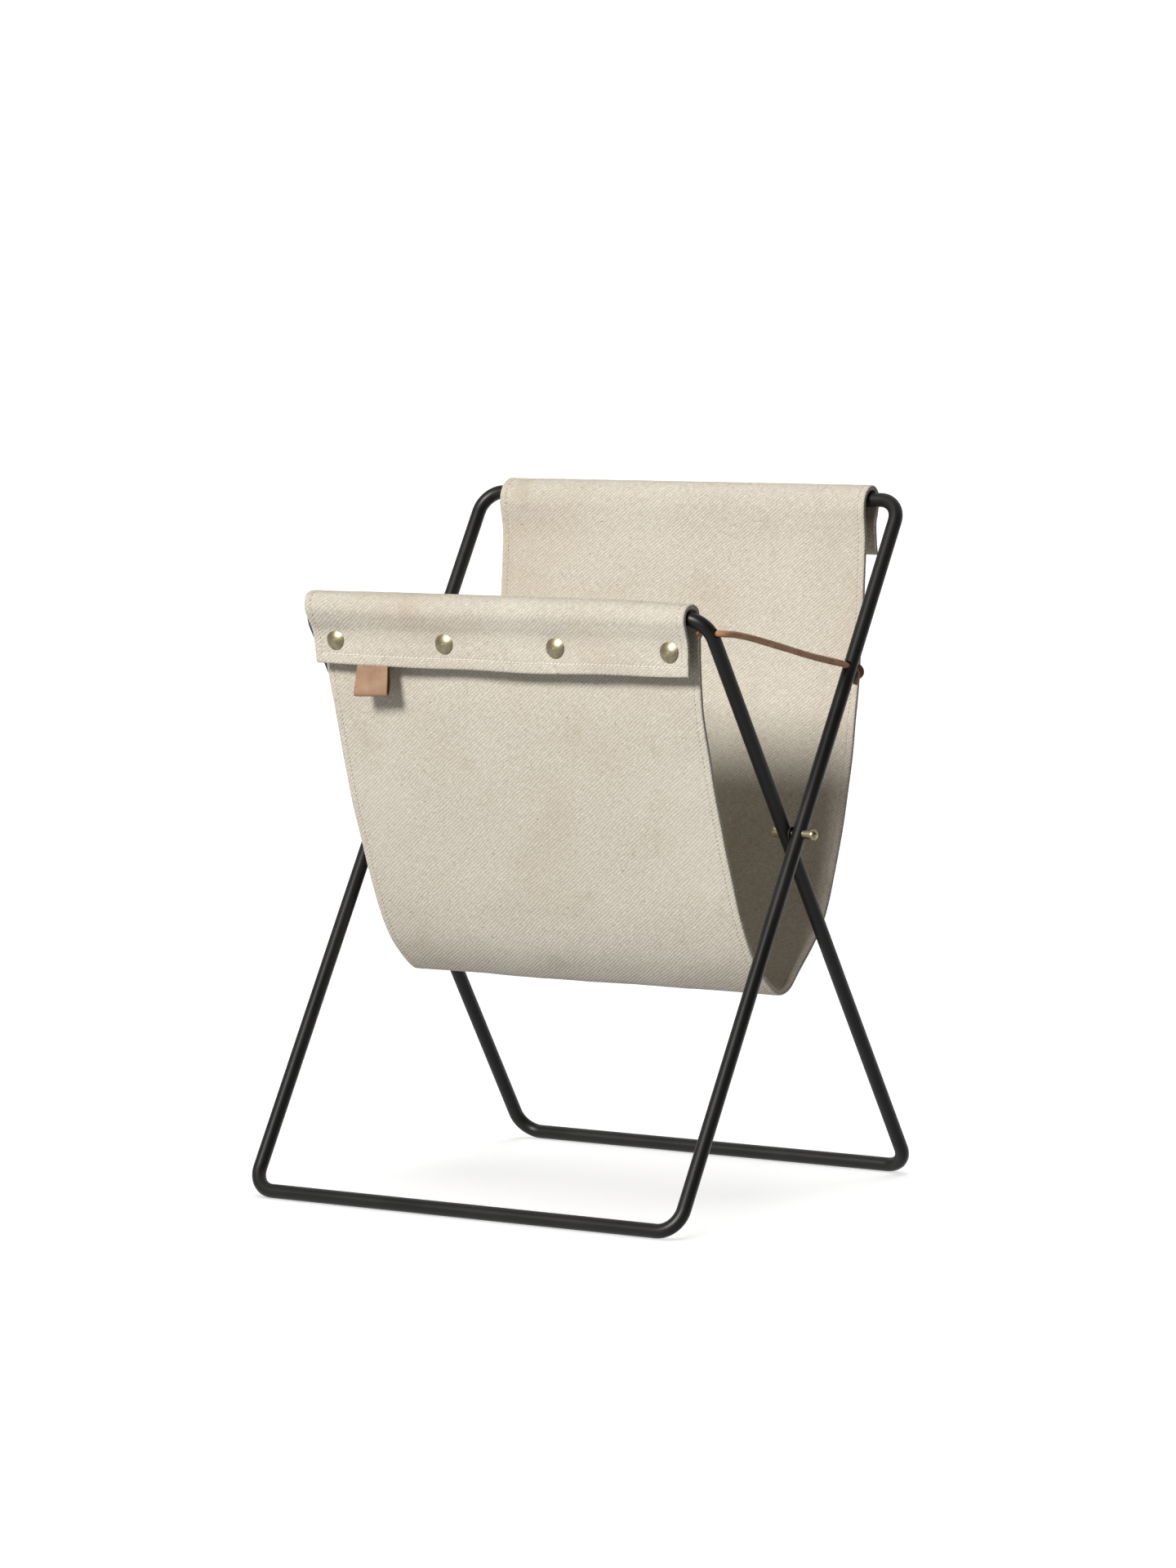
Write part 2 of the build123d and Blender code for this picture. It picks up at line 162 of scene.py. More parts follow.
def tube_shape(points, radius, sides=18, closed=False, uneven=0.0):
    """Points, faces and UVs (round, along) of a tube along points, a little uneven in thickness."""
    count = len(points)
    tangents = []
    for n in range(count):
        before = points[(n - 1) % count] if closed else points[max(n - 1, 0)]
        after = points[(n + 1) % count] if closed else points[min(n + 1, count - 1)]
        tangents.append((after - before).normalized())
    normal = tangents[0].orthogonal().normalized()
    vertices, uvs, faces = [], [], []
    along = 0.0
    for n, (here, tangent) in enumerate(zip(points, tangents)):
        along += (here - points[n - 1]).length if n else 0.0
        normal = (normal - tangent * normal.dot(tangent)).normalized()
        side = tangent.cross(normal)
        for m in range(sides):
            angle = math.tau * m / sides
            bump = wobble(along, radius * angle, lump_length, seed=3.1)
            bump += 0.5 * math.sin(2 * angle + along * twist)
            out = normal * math.cos(angle) + side * math.sin(angle)
            vertices.append(here + out * radius * (1 + uneven * bump))
            uvs.append((radius * angle, along))
    rings = count if closed else count - 1
    for n in range(rings):
        for m in range(sides):
            a, b = n * sides + m, n * sides + (m + 1) % sides
            c, d = (b + sides) % len(vertices), (a + sides) % len(vertices)
            faces.append((a, b, c, d))
    if not closed:
        faces.append(tuple(reversed(range(sides))))
        faces.append(tuple(range(len(vertices) - sides, len(vertices))))
    return vertices, faces, uvs


def fused(piece, voxel, rounds):
    """The piece as one skin, its lumps melted into each other."""
    remesh = piece.modifiers.new("skin", "REMESH")
    remesh.mode = "VOXEL"
    remesh.voxel_size = voxel
    remesh.use_smooth_shade = True
    soften = piece.modifiers.new("soften", "SMOOTH")
    soften.factor = 0.5
    soften.iterations = rounds
    final = evaluated_mesh(piece)
    piece.modifiers.clear()
    piece.data = final
    return piece


def knot(name, centre, axes, reach, radius, tail):
    """A pulled-tight overhand knot: a three-lobed loop of cord, fused, with a short cut end.

    axes are three directions and reach the half-size along each; tail is (start, end) points.
    """
    points = []
    steps = 96
    for n in range(steps):
        t = math.tau * n / steps
        # A trefoil, scaled to reach 1 on each axis.
        local = (
            (math.sin(t) + 2 * math.sin(2 * t)) / 2.8,
            (math.cos(t) - 2 * math.cos(2 * t)) / 3.0,
            -math.sin(3 * t),
        )
        place = centre.copy()
        for axis, share, size in zip(axes, local, reach):
            place += axis * share * (size - radius)
        points.append(place)
    start, end = tail
    tail_line = [start.lerp(end, n / 6) for n in range(7)]
    vertices, faces, _ = tube_shape(points, radius, closed=True)
    tail_vertices, tail_faces, _ = tube_shape(tail_line, radius * 0.96)
    faces += [tuple(len(vertices) + index for index in face) for face in tail_faces]
    return fused(mesh_object(name, vertices + tail_vertices, faces), voxel=0.32 * MM, rounds=2)


cord_pieces, knot_pieces, cord_lines = {}, {}, {}
for side_name, side in SIDES.items():
    route = [(side * x, y, z) for x, y, z in cord_route]
    line = route_points(f"route_{side_name}", route)
    cord_lines[side_name] = line
    cord_shape = tube_shape(line, cord_diameter / 2, uneven=cord_uneven)
    cord_pieces[side_name] = mesh_object(f"leather_cord_{side_name}", *cord_shape)
    across = Vector((side, 0, 0))
    rear = Vector(route[-1]) + cord_across * 4.6 * MM
    knot_pieces[side_name, "rear"] = knot(
        f"rear_knot_{side_name}",
        centre=rear,
        axes=(lean, across, cord_across),
        reach=(7.0 * MM, 4.5 * MM, 4.4 * MM),
        radius=2.15 * MM,
        tail=(rear, rear - lean * 6.0 * MM + cord_across * 2.6 * MM),
    )
    front = Vector(route[0]) - across * 3.6 * MM
    knot_pieces[side_name, "front"] = knot(
        f"front_knot_{side_name}",
        centre=front,
        axes=(Vector((0, 0, 1)), Vector((0, 1, 0)), across),
        reach=(3.1 * MM, 3.1 * MM, 1.9 * MM),
        radius=1.3 * MM,
        tail=(front + across * 3.4 * MM, front - across * 0.6 * MM),
    )


# ---- Sling: the cloth's middle line, from the front hem to the back hem, in (y, z) mm ----
front_line = [
    (-92.8, 354.0),
    (-92.7, 362.0),
    (-92.8, 370.0),
    (-94.6, 377.0),
    (-98.4, 384.0),
    (-100.9, 391.0),
    (-97.8, 398.2),
    (-90.4, 400.6),
    (-83.4, 397.6),
    (-80.6, 389.0),
    (-80.4, 380.0),
    (-80.4, 370.0),
    (-80.3, 360.0),
    (-77.4, 330.0),
    (-69.6, 296.0),
    (-59.2, 260.0),
    (-46.3, 223.0),
    (-33.0, 188.0),
    (-17.2, 160.0),
]
bottom_line = [(-0.7, 144.0), (9.0, 138.4), (20.0, 140.0)]
back_line = [
    (33.2, 151.0),
    (52.0, 167.5),
    (65.5, 184.0),
    (78.6, 214.5),
    (88.2, 243.0),
    (97.2, 273.5),
    (104.2, 303.0),
    (109.8, 334.0),
    (113.7, 362.0),
    (117.0, 390.0),
    (119.8, 418.0),
    (120.7, 430.0),
    (120.7, 442.0),
    (121.0, 452.0),
    (123.6, 460.8),
    (130.2, 464.8),
    (135.8, 461.8),
    (137.0, 455.0),
    (135.2, 447.0),
    (133.2, 441.0),
    (132.9, 435.0),
    (133.2, 427.0),
    (134.4, 419.5),
]
half_width = 148.0 * MM
half_cloth = 1.65 * MM
edge_seam_inset = 5.0 * MM
hem_seam_inset = 6.4 * MM
seam_depth = 0.32 * MM
seam_spread = 0.75 * MM
stitch_pitch = 3.0 * MM
stitch_share = 0.72  # of the pitch that is thread
stitch_start = 0.15
side_thread_thickness = 0.7 * MM
hem_thread_thickness = 0.9 * MM
stitch_lift = 0.06 * MM
snap_row = 16 * MM  # from a hem to the middles of its snaps
snap_spots = [(-133.5 + 89.0 * n) * MM for n in range(4)]


def between(knots, first, last, t, a, b):
    """The point at t on a straight line that passes a at the first knot and b at the last."""
    return ((knots[last] - t) * a + (t - knots[first]) * b) / (knots[last] - knots[first])


def rounded_line(points, step):
    """Points a step apart on a smooth curve through all the given ones, and their path lengths."""
    points = np.array(points, float)
    ends = [2 * points[0] - points[1], *points, 2 * points[-1] - points[-2]]
    fine = []
    for p0, p1, p2, p3 in zip(ends, ends[1:], ends[2:], ends[3:]):
        # A centripetal Catmull-Rom span: three straight blends, then two of those, then one.
        gaps = [math.sqrt(np.linalg.norm(b - a)) for a, b in ((p0, p1), (p1, p2), (p2, p3))]
        knots = np.cumsum([0.0] + gaps)
        through = [p0, p1, p2, p3]
        for share in np.linspace(0, 1, 40, endpoint=False):
            t = knots[1] + share * (knots[2] - knots[1])
            three = [between(knots, n, n + 1, t, through[n], through[n + 1]) for n in range(3)]
            two = [between(knots, n, n + 2, t, three[n], three[n + 1]) for n in range(2)]
            fine.append(between(knots, 1, 2, t, two[0], two[1]))
    fine.append(points[-1])
    fine = np.array(fine)
    travelled = np.concatenate([[0.0], np.cumsum(np.linalg.norm(np.diff(fine, axis=0), axis=1))])
    stations = np.arange(0, travelled[-1], step)
    stations = np.append(stations, travelled[-1])
    return np.stack([np.interp(stations, travelled, fine[:, k]) for k in range(2)], axis=1), stations


sling_line, sling_stations = rounded_line(
    [(y * MM, z * MM) for y, z in front_line + bottom_line + back_line], 0.5 * MM
)
sling_length = float(sling_stations[-1])
sling_ways = np.gradient(sling_line, sling_stations, axis=0)
sling_ways /= np.linalg.norm(sling_ways, axis=1)[:, None]


def bell(value, centre, width):
    """1 at the centre, falling smoothly to about a third a width away."""
    return math.exp(-(((value - centre) / width) ** 2))


def middle(x, along):
    """(x, y, z) of the cloth's middle and its (y, z) normal, which faces the pouch's outside."""
    y, z = (float(np.interp(along, sling_stations, sling_line[:, k])) for k in range(2))
    way_y, way_z = (float(np.interp(along, sling_stations, sling_ways[:, k])) for k in range(2))
    size = math.hypot(way_y, way_z)
    normal = (way_z / size, -way_y / size)
    from_back = sling_length - along
    nearest_snap = min(abs(x - spot) for spot in snap_spots)
    free = 1 - bell(nearest_snap, 0, 17 * MM)
    left, right = bell(x, -half_width, 45 * MM), bell(x, half_width, 34 * MM)
    push_x, push_y, push_z = 0.0, 0.0, 0.0
    # Front flap and loop: slack on the left, drawn tight over the bar on the right.
    loop_share = bell(along, 38 * MM, 14 * MM)
    rightness = 0.5 + 0.5 * x / half_width
    push_y += loop_share * (3.0 * MM * rightness**3 - 2.2 * MM * left)
    push_y += loop_share * 1.0 * MM * wobble(x, along, 70 * MM, seed=1.5)
    push_y -= bell(along, 52 * MM, 10 * MM) * 5.0 * MM * left
    push_z -= bell(along, 50 * MM, 13 * MM) * 1.5 * MM * right
    # The flap and the top of the front panel stand out a little to the left.
    widened = min(1.0, max(0.0, (134 * MM - along) / (28 * MM)))
    widened *= 1 - 0.35 * bell(along, 0, 12 * MM)
    push_x -= 3.5 * MM * bell(x, -half_width, 16 * MM) * widened
    # Between its snaps the flap stands off the panel, and its hem waves and sags.
    push_y -= bell(along, 14 * MM, 12 * MM) * 1.9 * MM * free
    hem_share = bell(along, 0, 10 * MM)
    push_y -= hem_share * 0.9 * MM * (0.2 + 1.4 * wobble(x, 0, 46 * MM, seed=4.2))
    push_z += hem_share * 0.8 * MM * wobble(x, 0, 52 * MM, seed=8.8)
    push_z -= hem_share * 1.4 * MM * (1 - (x / half_width) ** 2)
    # Back flap and loop: fuller towards its left end.
    hem_share = bell(from_back, 0, 12 * MM)
    push_y += bell(from_back, 10 * MM, 13 * MM) * 1.2 * MM * free
    push_y += hem_share * 1.0 * MM * (0.3 + wobble(x, 0, 50 * MM, seed=6.4))
    push_z += hem_share * 0.7 * MM * wobble(x, 0, 60 * MM, seed=2.3)
    push_y -= bell(from_back, 66 * MM, 15 * MM) * (3.6 * MM * left + 1.5 * MM * right)
    # Panels: broad soft waves, and a livelier free edge.
    on_panel = min(1.0, max(0.0, (min(along, from_back) - 62 * MM) / (50 * MM)))
    out = 1.0 * MM * wobble(x, along, 110 * MM, seed=7.0)
    out += 0.45 * MM * wobble(x + 0.6 * along, along, 42 * MM, seed=9.0)
    out += bell(half_width - abs(x), 0, 14 * MM) * 0.7 * MM * wobble(along, x, 36 * MM, seed=5.0)
    out *= on_panel
    return (x + push_x, y + push_y + out * normal[0], z + push_z + out * normal[1]), normal


def half_thickness(x, along):
    """Half the cloth's thickness, thinner along the stitched seams and drawn in at each stitch."""
    end = min(along, sling_length - along)
    edge = half_width - abs(x)
    thick = half_cloth
    thick += 0.12 * MM * wobble(x, along, 9 * MM, seed=11.0)
    pulled = 0.8 + 0.2 * math.cos(math.tau * along / stitch_pitch)
    thick -= seam_depth * bell(edge, edge_seam_inset, seam_spread) * pulled
    pulled = 0.8 + 0.2 * math.cos(math.tau * x / stitch_pitch)
    thick -= seam_depth * bell(end, hem_seam_inset, seam_spread) * pulled
    nearest = min(math.hypot(x - spot, end - snap_row) for spot in snap_spots)
    thick -= 0.35 * MM * bell(nearest, 0, 9 * MM)
    return thick


def on_cloth(x, along, face, lift=0.0):
    """A point on one face of the sling, face +1 outside the pouch and -1 inside, and its normal."""
    (place_x, y, z), normal = middle(x, along)
    reach = face * (half_thickness(x, along) + lift)
    place = Vector((place_x, y + normal[0] * reach, z + normal[1] * reach))
    return place, Vector((0, *normal)) * face


# Columns and rows are close together where a seam or an edge needs it.
edge_columns = [0.9, 1.7, 2.7, 3.6, 4.2, 4.6, 5.0, 5.4, 5.8, 6.5, 7.6, 9.4, 12.0, 15.5]
inner_columns = np.linspace(-128, 128, 60)
columns = sorted(
    [inset * MM - half_width for inset in edge_columns]
    + [float(x) * MM for x in inner_columns]
    + [half_width - inset * MM for inset in edge_columns]
)
hem_rows = [0.0, 0.35, 0.9, 1.8, 3.0, 4.4, 5.3, 5.8, 6.1, 6.4, 6.7, 7.0, 7.5, 8.6]
hem_depth = 10.2 * MM
middle_rows = np.arange(hem_depth, sling_length - hem_depth, 1.5 * MM)
rows = sorted(
    [row * MM for row in hem_rows]
    + [float(row) for row in middle_rows]
    + [sling_length - row * MM for row in hem_rows]
)
# The turned edges of the two layers lie side by side: (inset, share of the half-thickness).
edge_outline = [(0.35, 0.86), (0.05, 0.62), (0.0, 0.36), (0.34, 0.08)]
lining_uv_shift = 3.0  # so the two faces don't show the same patch of cloth


def build_sling():
    """The sling as one closed skin: outside face, turned edge, inside face, turned edge."""
    right_edge = [(half_width - inset * MM, share) for inset, share in edge_outline]
    left_edge = [(-x, share) for x, share in reversed(right_edge)]
    outside = [(x, 1.0) for x in columns] + right_edge
    inside = [(x, -share) for x, share in reversed(left_edge + outside)]
    ring = outside + inside + left_edge
    vertices, uvs = [], []
    for along in rows:
        end = min(along, sling_length - along)
        closing = 1 - 0.62 * math.exp(-end / (0.45 * MM))
        for x, share in ring:
            (place_x, y, z), normal = middle(x, along)
            reach = share * closing * half_thickness(x, along)
            vertices.append((place_x, y + normal[0] * reach, z + normal[1] * reach))
            uvs.append((x, along) if share > 0 else (x + lining_uv_shift, -along))
    size = len(ring)
    faces = []
    for n in range(len(rows) - 1):
        for m in range(size):
            a, b = n * size + m, n * size + (m + 1) % size
            faces.append((a, a + size, b + size, b))
    # Both ends are closed from one turned edge to the other.
    last = (len(rows) - 1) * size
    turned = len(edge_outline)
    for m in range(size // 2 - 1):
        a, b = (m - turned) % size, (m - turned + 1) % size
        c, d = (size - turned - m - 2) % size, (size - turned - m - 1) % size
        faces.append((a, b, c, d))
        faces.append((last + d, last + c, last + b, last + a))
    return mesh_object("sling", vertices, faces, uvs)


sling = build_sling()


def dash(start, end, normal, thickness):
    """One stitch: a short rounded thread with sunk ends, as points and faces."""
    way = (end - start).normalized()
    side = way.cross(normal).normalized()
    # (share of the way, width, height) from one end to the middle; the other half mirrors it.
    half_profile = [(0.0, 0.35, -0.30), (0.14, 0.8, 0.05), (0.36, 1.0, 0.25)]
    profile = half_profile + [(1 - share, *rest) for share, *rest in reversed(half_profile)]
    sides = 6
    points, faces = [], []
    for share, width, height in profile:
        centre = start.lerp(end, share) + normal * height * thickness
        for m in range(sides):
            angle = math.tau * m / sides
            out = side * math.cos(angle) + normal * math.sin(angle)
            points.append(centre + out * thickness * width / 2)
    for n in range(len(profile) - 1):
        for m in range(sides):
            a, b = n * sides + m, n * sides + (m + 1) % sides
            faces.append((a, b, b + sides, a + sides))
    faces.append(tuple(reversed(range(sides))))
    faces.append(tuple(range(len(points) - sides, len(points))))
    return points, faces


def build_stitching():
    """Every stitch of the side seams and hems, on both faces, as one object, and the hems' faces."""
    vertices, faces = [], []
    hem_faces = []

    def add(x0, along0, x1, along1, face, thickness):
        start, normal = on_cloth(x0, along0, face, stitch_lift)
        end, _ = on_cloth(x1, along1, face, stitch_lift)
        points, shapes = dash(start, end, normal, thickness)
        first = len(vertices)
        vertices.extend(points)
        faces.extend(tuple(first + index for index in shape) for shape in shapes)

    length = stitch_share * stitch_pitch
    for face in (1, -1):
        for side in SIDES.values():
            x = side * (half_width - edge_seam_inset)
            for n in range(int((sling_length - 2 * hem_seam_inset) / stitch_pitch)):
                along = hem_seam_inset + (n + stitch_start) * stitch_pitch
                wander = 0.18 * MM * wobble(along, side, 11 * MM, seed=2.0)
                add(x + wander, along, x + wander, along + length, face, side_thread_thickness)
        first_hem_face = len(faces)
        for along in (hem_seam_inset, sling_length - hem_seam_inset):
            count = int((2 * half_width - 2 * edge_seam_inset) / stitch_pitch)
            for n in range(count):
                x = -half_width + edge_seam_inset + (n + stitch_start) * stitch_pitch
                wander = 0.22 * MM * wobble(x, along, 14 * MM, seed=6.0)
                add(x, along + wander, x + length, along + wander, face, hem_thread_thickness)
        hem_faces.extend(range(first_hem_face, len(faces)))
    return mesh_object("sling_stitching", vertices, faces), hem_faces


stitching, hem_stitch_faces = build_stitching()


# ---- Leather tag: a strip folded at its foot, both ends sewn under the front hem ----
tag_centre = -103.5 * MM
tag_half = 13.0 * MM
tag_drop = 23 * MM
tag_top = 357.0 * MM
ply = 0.72 * MM  # half the leather's thickness
# The strip's middle line in (y, z) mm: down in front, round the fold, and up behind.
tag_path = [
    (-93.2, 357.0),
    (-94.1, 353.0),
    (-94.6, 348.0),
    (-95.3, 342.0),
    (-96.1, 336.5),
    (-96.0, 334.4),
    (-94.8, 333.6),
    (-93.7, 334.6),
    (-92.4, 338.0),
    (-91.6, 344.0),
    (-91.5, 350.0),
    (-91.6, 353.8),
]
# The cut edges are rounded: (inset in mm, share of the half-thickness).
tag_edge = [(0.0, 0.45), (0.18, 0.8), (0.5, 0.95), (1.1, 1.0), (2.2, 1.0)]


def build_tag():
    """The folded strip as one closed skin, wider at its foot and swung out at its left."""
    line, stations = rounded_line([(y * MM, z * MM) for y, z in tag_path], 0.45 * MM)
    ways = np.gradient(line, stations, axis=0)
    ways /= np.linalg.norm(ways, axis=1)[:, None]
    left = [(-1 + inset * MM / tag_half, share) for inset, share in tag_edge]
    inner = [(float(share), 1.0) for share in np.linspace(-0.75, 0.75, 16)]
    right = [(-place, share) for place, share in reversed(left)]
    face = left + inner + right
    ring = face + [(place, -share) for place, share in reversed(face)]
    vertices, uvs = [], []
    for (y, z), (way_y, way_z), along in zip(line, ways, stations):
        low = (tag_top - z) / tag_drop
        end = min(along, stations[-1] - along)
        closing = 1 - 0.5 * math.exp(-end / (0.3 * MM))
        for share, thick in ring:
            x = tag_centre - 0.3 * MM * low + share * (tag_half - 0.7 * MM + 0.8 * MM * low)
            skew = 0.35 * MM * share * low
            reach = -thick * ply * closing
            swing = 0.9 * MM * low * (1 - share)
            vertices.append((x, y - swing + way_z * reach, z - way_y * reach + skew))
            uvs.append((x + 0.1, along + (0.5 if thick < 0 else 0.0)))
    size = len(ring)
    faces = []
    for n in range(len(stations) - 1):
        for m in range(size):
            a, b = n * size + m, n * size + (m + 1) % size
            faces.append((a, b, b + size, a + size))
    last = (len(stations) - 1) * size
    for m in range(size // 2 - 1):
        faces.append((m, size - 1 - m, size - 2 - m, m + 1))
        faces.append((last + m, last + m + 1, last + size - 2 - m, last + size - 1 - m))
    return mesh_object("tag", vertices, faces, uvs)


tag = build_tag()


# ---- Materials ----
class Material:
    """A material being built: one Principled shader and short calls for the nodes before it."""

    def __init__(self, name, **constants):
        self.material = bpy.data.materials.new(name)
        self.material.use_nodes = True
        self.tree = self.material.node_tree
        self.shader = self.tree.nodes["Principled BSDF"]
        for socket, value in constants.items():
            self.shader.inputs[socket.replace("_", " ")].default_value = value

    def node(self, kind, inputs=(), **settings):
        made = self.tree.nodes.new(kind)
        for name, value in settings.items():
            setattr(made, name, value)
        for socket, value in dict(inputs).items():
            if isinstance(value, bpy.types.NodeSocket):
                self.tree.links.new(value, made.inputs[socket])
            else:
                made.inputs[socket].default_value = value
        return made

    def place(self, kind="Object", scale=(1, 1, 1)):
        """Texture coordinates, stretched by a scale on each axis."""
        source = self.node("ShaderNodeTexCoord").outputs[kind]
        return self.node("ShaderNodeMapping", {"Vector": source, "Scale": scale}).outputs["Vector"]

    def noise(self, where, scale, detail=3.0, roughness=0.55, distortion=0.0):
        inputs = {"Vector": where, "Scale": scale, "Detail": detail, "Roughness": roughness}
        inputs["Distortion"] = distortion
        return self.node("ShaderNodeTexNoise", inputs).outputs["Fac"]

    def math(self, operation, a, b=0.0, clamp=False):
        return self.node("ShaderNodeMath", {0: a, 1: b}, operation=operation, use_clamp=clamp).outputs[0]

    def span(self, value, low, high, to_low=0.0, to_high=1.0):
        inputs = {"Value": value, "From Min": low, "From Max": high, "To Min": to_low, "To Max": to_high}
        return self.node("ShaderNodeMapRange", inputs).outputs[0]

    def mix(self, share, a, b, blend="MIX"):
        inputs = {0: share, 6: a, 7: b}
        return self.node("ShaderNodeMix", inputs, data_type="RGBA", blend_type=blend).outputs[2]

    def bump(self, height, strength, distance, normal=None):
        inputs = {"Height": height, "Strength": strength, "Distance": distance}
        if normal is not None:
            inputs["Normal"] = normal
        return self.node("ShaderNodeBump", inputs).outputs["Normal"]

    def link(self, **sockets):
        for socket, source in sockets.items():
            self.tree.links.new(source, self.shader.inputs[socket.replace("_", " ")])


def colour(red, green, blue):
    """A colour given as the 0 to 255 values seen on a screen."""
    linear = []
    for value in (red, green, blue):
        value /= 255
        linear.append(value / 12.92 if value <= 0.04045 else ((value + 0.055) / 1.055) ** 2.4)
    return (*linear, 1.0)


def canvas_material(name):
    """Undyed linen and cotton twill, its diagonal ribs crossed by uneven threads and slubs."""
    m = Material(name, Sheen_Weight=0.05, Sheen_Roughness=0.45, Specular_IOR_Level=0.22)
    flat = m.place("UV")
    parts = m.node("ShaderNodeSeparateXYZ", {"Vector": flat})
    u, v = parts.outputs["X"], parts.outputs["Y"]
    drift = m.noise(flat, 70.0, detail=2.0)
    turns = m.math("ADD", m.math("DIVIDE", u, 3.13 * MM), m.math("DIVIDE", v, 2.45 * MM))
    turns = m.math("ADD", turns, m.math("MULTIPLY", drift, 1.3))
    rib = m.span(m.math("SINE", m.math("MULTIPLY", turns, math.tau)), -1.0, 1.0)
    weft = m.noise(m.place("UV", (260, 1900, 1)), 1.0, detail=2.0)
    warp = m.noise(m.place("UV", (1900, 260, 1)), 1.0, detail=2.0)
    grain = m.noise(flat, 1500.0, detail=1.5)
    threads = m.math("MULTIPLY", m.math("ADD", weft, warp), 0.5)
    # Colour: pale ecru threads over a greyer ground, clouds of shade, and dark slubs.
    light, shade = colour(224, 218, 206), colour(178, 169, 153)
    broken = m.math("MULTIPLY", rib, m.span(m.noise(flat, 330.0, detail=2.0), 0.35, 0.65, 0.45, 1.0))
    crossed = m.span(threads, 0.34, 0.66)
    body = m.math("ADD", m.math("MULTIPLY", broken, 0.42), m.math("MULTIPLY", crossed, 0.58))
    tone = m.mix(m.span(body, 0.12, 0.80), shade, light)
    clouds = m.noise(m.place("UV", (9, 7, 1)), 1.0, detail=4.0, roughness=0.6)
    tone = m.mix(m.span(clouds, 0.50, 0.74, 0.0, 0.50), tone, colour(186, 170, 147))
    tone = m.mix(m.span(clouds, 0.26, 0.46, 0.34, 0.0), tone, colour(224, 219, 207))
    stain = m.noise(m.place("UV", (34, 21, 1)), 1.0, detail=3.0, roughness=0.65)
    tone = m.mix(m.span(stain, 0.58, 0.76, 0.0, 0.40), tone, colour(178, 162, 140))
    slub = m.noise(m.place("UV", (210, 620, 1)), 1.0, detail=1.0)
    slub_up = m.noise(m.place("UV", (640, 190, 1)), 1.0, detail=1.0)
    speck = m.math("MAXIMUM", m.span(slub, 0.72, 0.80), m.span(slub_up, 0.74, 0.82))
    tone = m.mix(m.math("MULTIPLY", speck, 0.62), tone, colour(112, 96, 76))
    pale = m.noise(m.place("UV", (150, 900, 1)), 1.0, detail=1.0)
    tone = m.mix(m.span(pale, 0.66, 0.76, 0.0, 0.5), tone, colour(232, 227, 216))
    height = m.math("ADD", m.math("MULTIPLY", rib, 0.9), m.math("MULTIPLY", threads, 0.7))
    height = m.math("ADD", height, m.math("MULTIPLY", grain, 0.2))
    fine = m.bump(height, 0.45, 0.28 * MM)
    lumps = m.noise(m.place("UV", (120, 120, 1)), 1.0, detail=2.0)
    m.link(Base_Color=tone, Normal=m.bump(lumps, 0.25, 0.5 * MM, fine))
    m.link(Roughness=m.span(threads, 0.3, 0.7, 0.95, 0.82))
    return m.material


def thread_material(name, light, dark):
    """Matt sewing thread, a little lighter and darker along its twist."""
    m = Material(name, Sheen_Weight=0.1, Specular_IOR_Level=0.3)
    where = m.place("Object")
    strand = m.noise(where, 2600.0, detail=1.0)
    m.link(Base_Color=m.mix(strand, dark, light))
    m.link(Roughness=m.span(strand, 0.3, 0.7, 0.6, 0.85))
    m.link(Normal=m.bump(strand, 0.4, 0.1 * MM))
    return m.material


def leather_material(name, light, dark, kind, pores):
    """Smooth vegetable-tanned leather: soft tone changes, fine pores and a low waxy gloss."""
    m = Material(name, Specular_IOR_Level=0.42, Coat_Weight=0.06, Coat_Roughness=0.4)
    where = m.place(kind)
    tone = m.noise(where, 90.0, detail=4.0, roughness=0.6)
    fibre = m.noise(where, 520.0, detail=3.0)
    base = m.mix(m.span(tone, 0.32, 0.68), dark, light)
    base = m.mix(m.span(fibre, 0.5, 0.75, 0.0, 0.35), base, dark)
    cell = m.node("ShaderNodeTexVoronoi", {"Vector": where, "Scale": pores}, feature="DISTANCE_TO_EDGE")
    crease = m.span(cell.outputs["Distance"], 0.0, 0.12)
    height = m.math("ADD", m.math("MULTIPLY", crease, 0.5), fibre)
    m.link(Base_Color=base, Normal=m.bump(height, 0.35, 0.18 * MM))
    m.link(Roughness=m.span(fibre, 0.3, 0.7, 0.42, 0.62))
    return m.material


def powder_coat_material(name):
    """Black powder coat: a low satin gloss over a very fine, faint orange peel."""
    m = Material(name, Specular_IOR_Level=0.42)
    where = m.place("Object")
    peel = m.noise(where, 900.0, detail=2.0)
    patch = m.noise(where, 14.0, detail=3.0)
    dust = m.noise(where, 2600.0, detail=1.0)
    base = m.mix(m.span(patch, 0.35, 0.65), colour(20, 20, 19), colour(27, 26, 25))
    base = m.mix(m.span(dust, 0.68, 0.80, 0.0, 0.2), base, colour(62, 60, 57))
    m.link(Base_Color=base, Normal=m.bump(peel, 0.12, 0.12 * MM))
    m.link(Roughness=m.span(patch, 0.3, 0.7, 0.36, 0.46))
    return m.material


def brass_material(name, light, dark, gloss):
    """Antiqued brass: pale, with browner patches of patina and fine scratches."""
    m = Material(name, Metallic=1.0)
    where = m.place("Object")
    patina = m.noise(where, 260.0, detail=4.0, roughness=0.65)
    scratch = m.noise(m.place("Object", (500, 4200, 4200)), 1.0, detail=2.0)
    base = m.mix(m.span(patina, 0.38, 0.66), light, dark)
    m.link(Base_Color=base, Normal=m.bump(scratch, 0.08, 0.05 * MM))
    worn = m.math("ADD", patina, m.math("MULTIPLY", scratch, 0.4))
    m.link(Roughness=m.span(worn, 0.5, 0.9, gloss, gloss + 0.16))
    return m.material


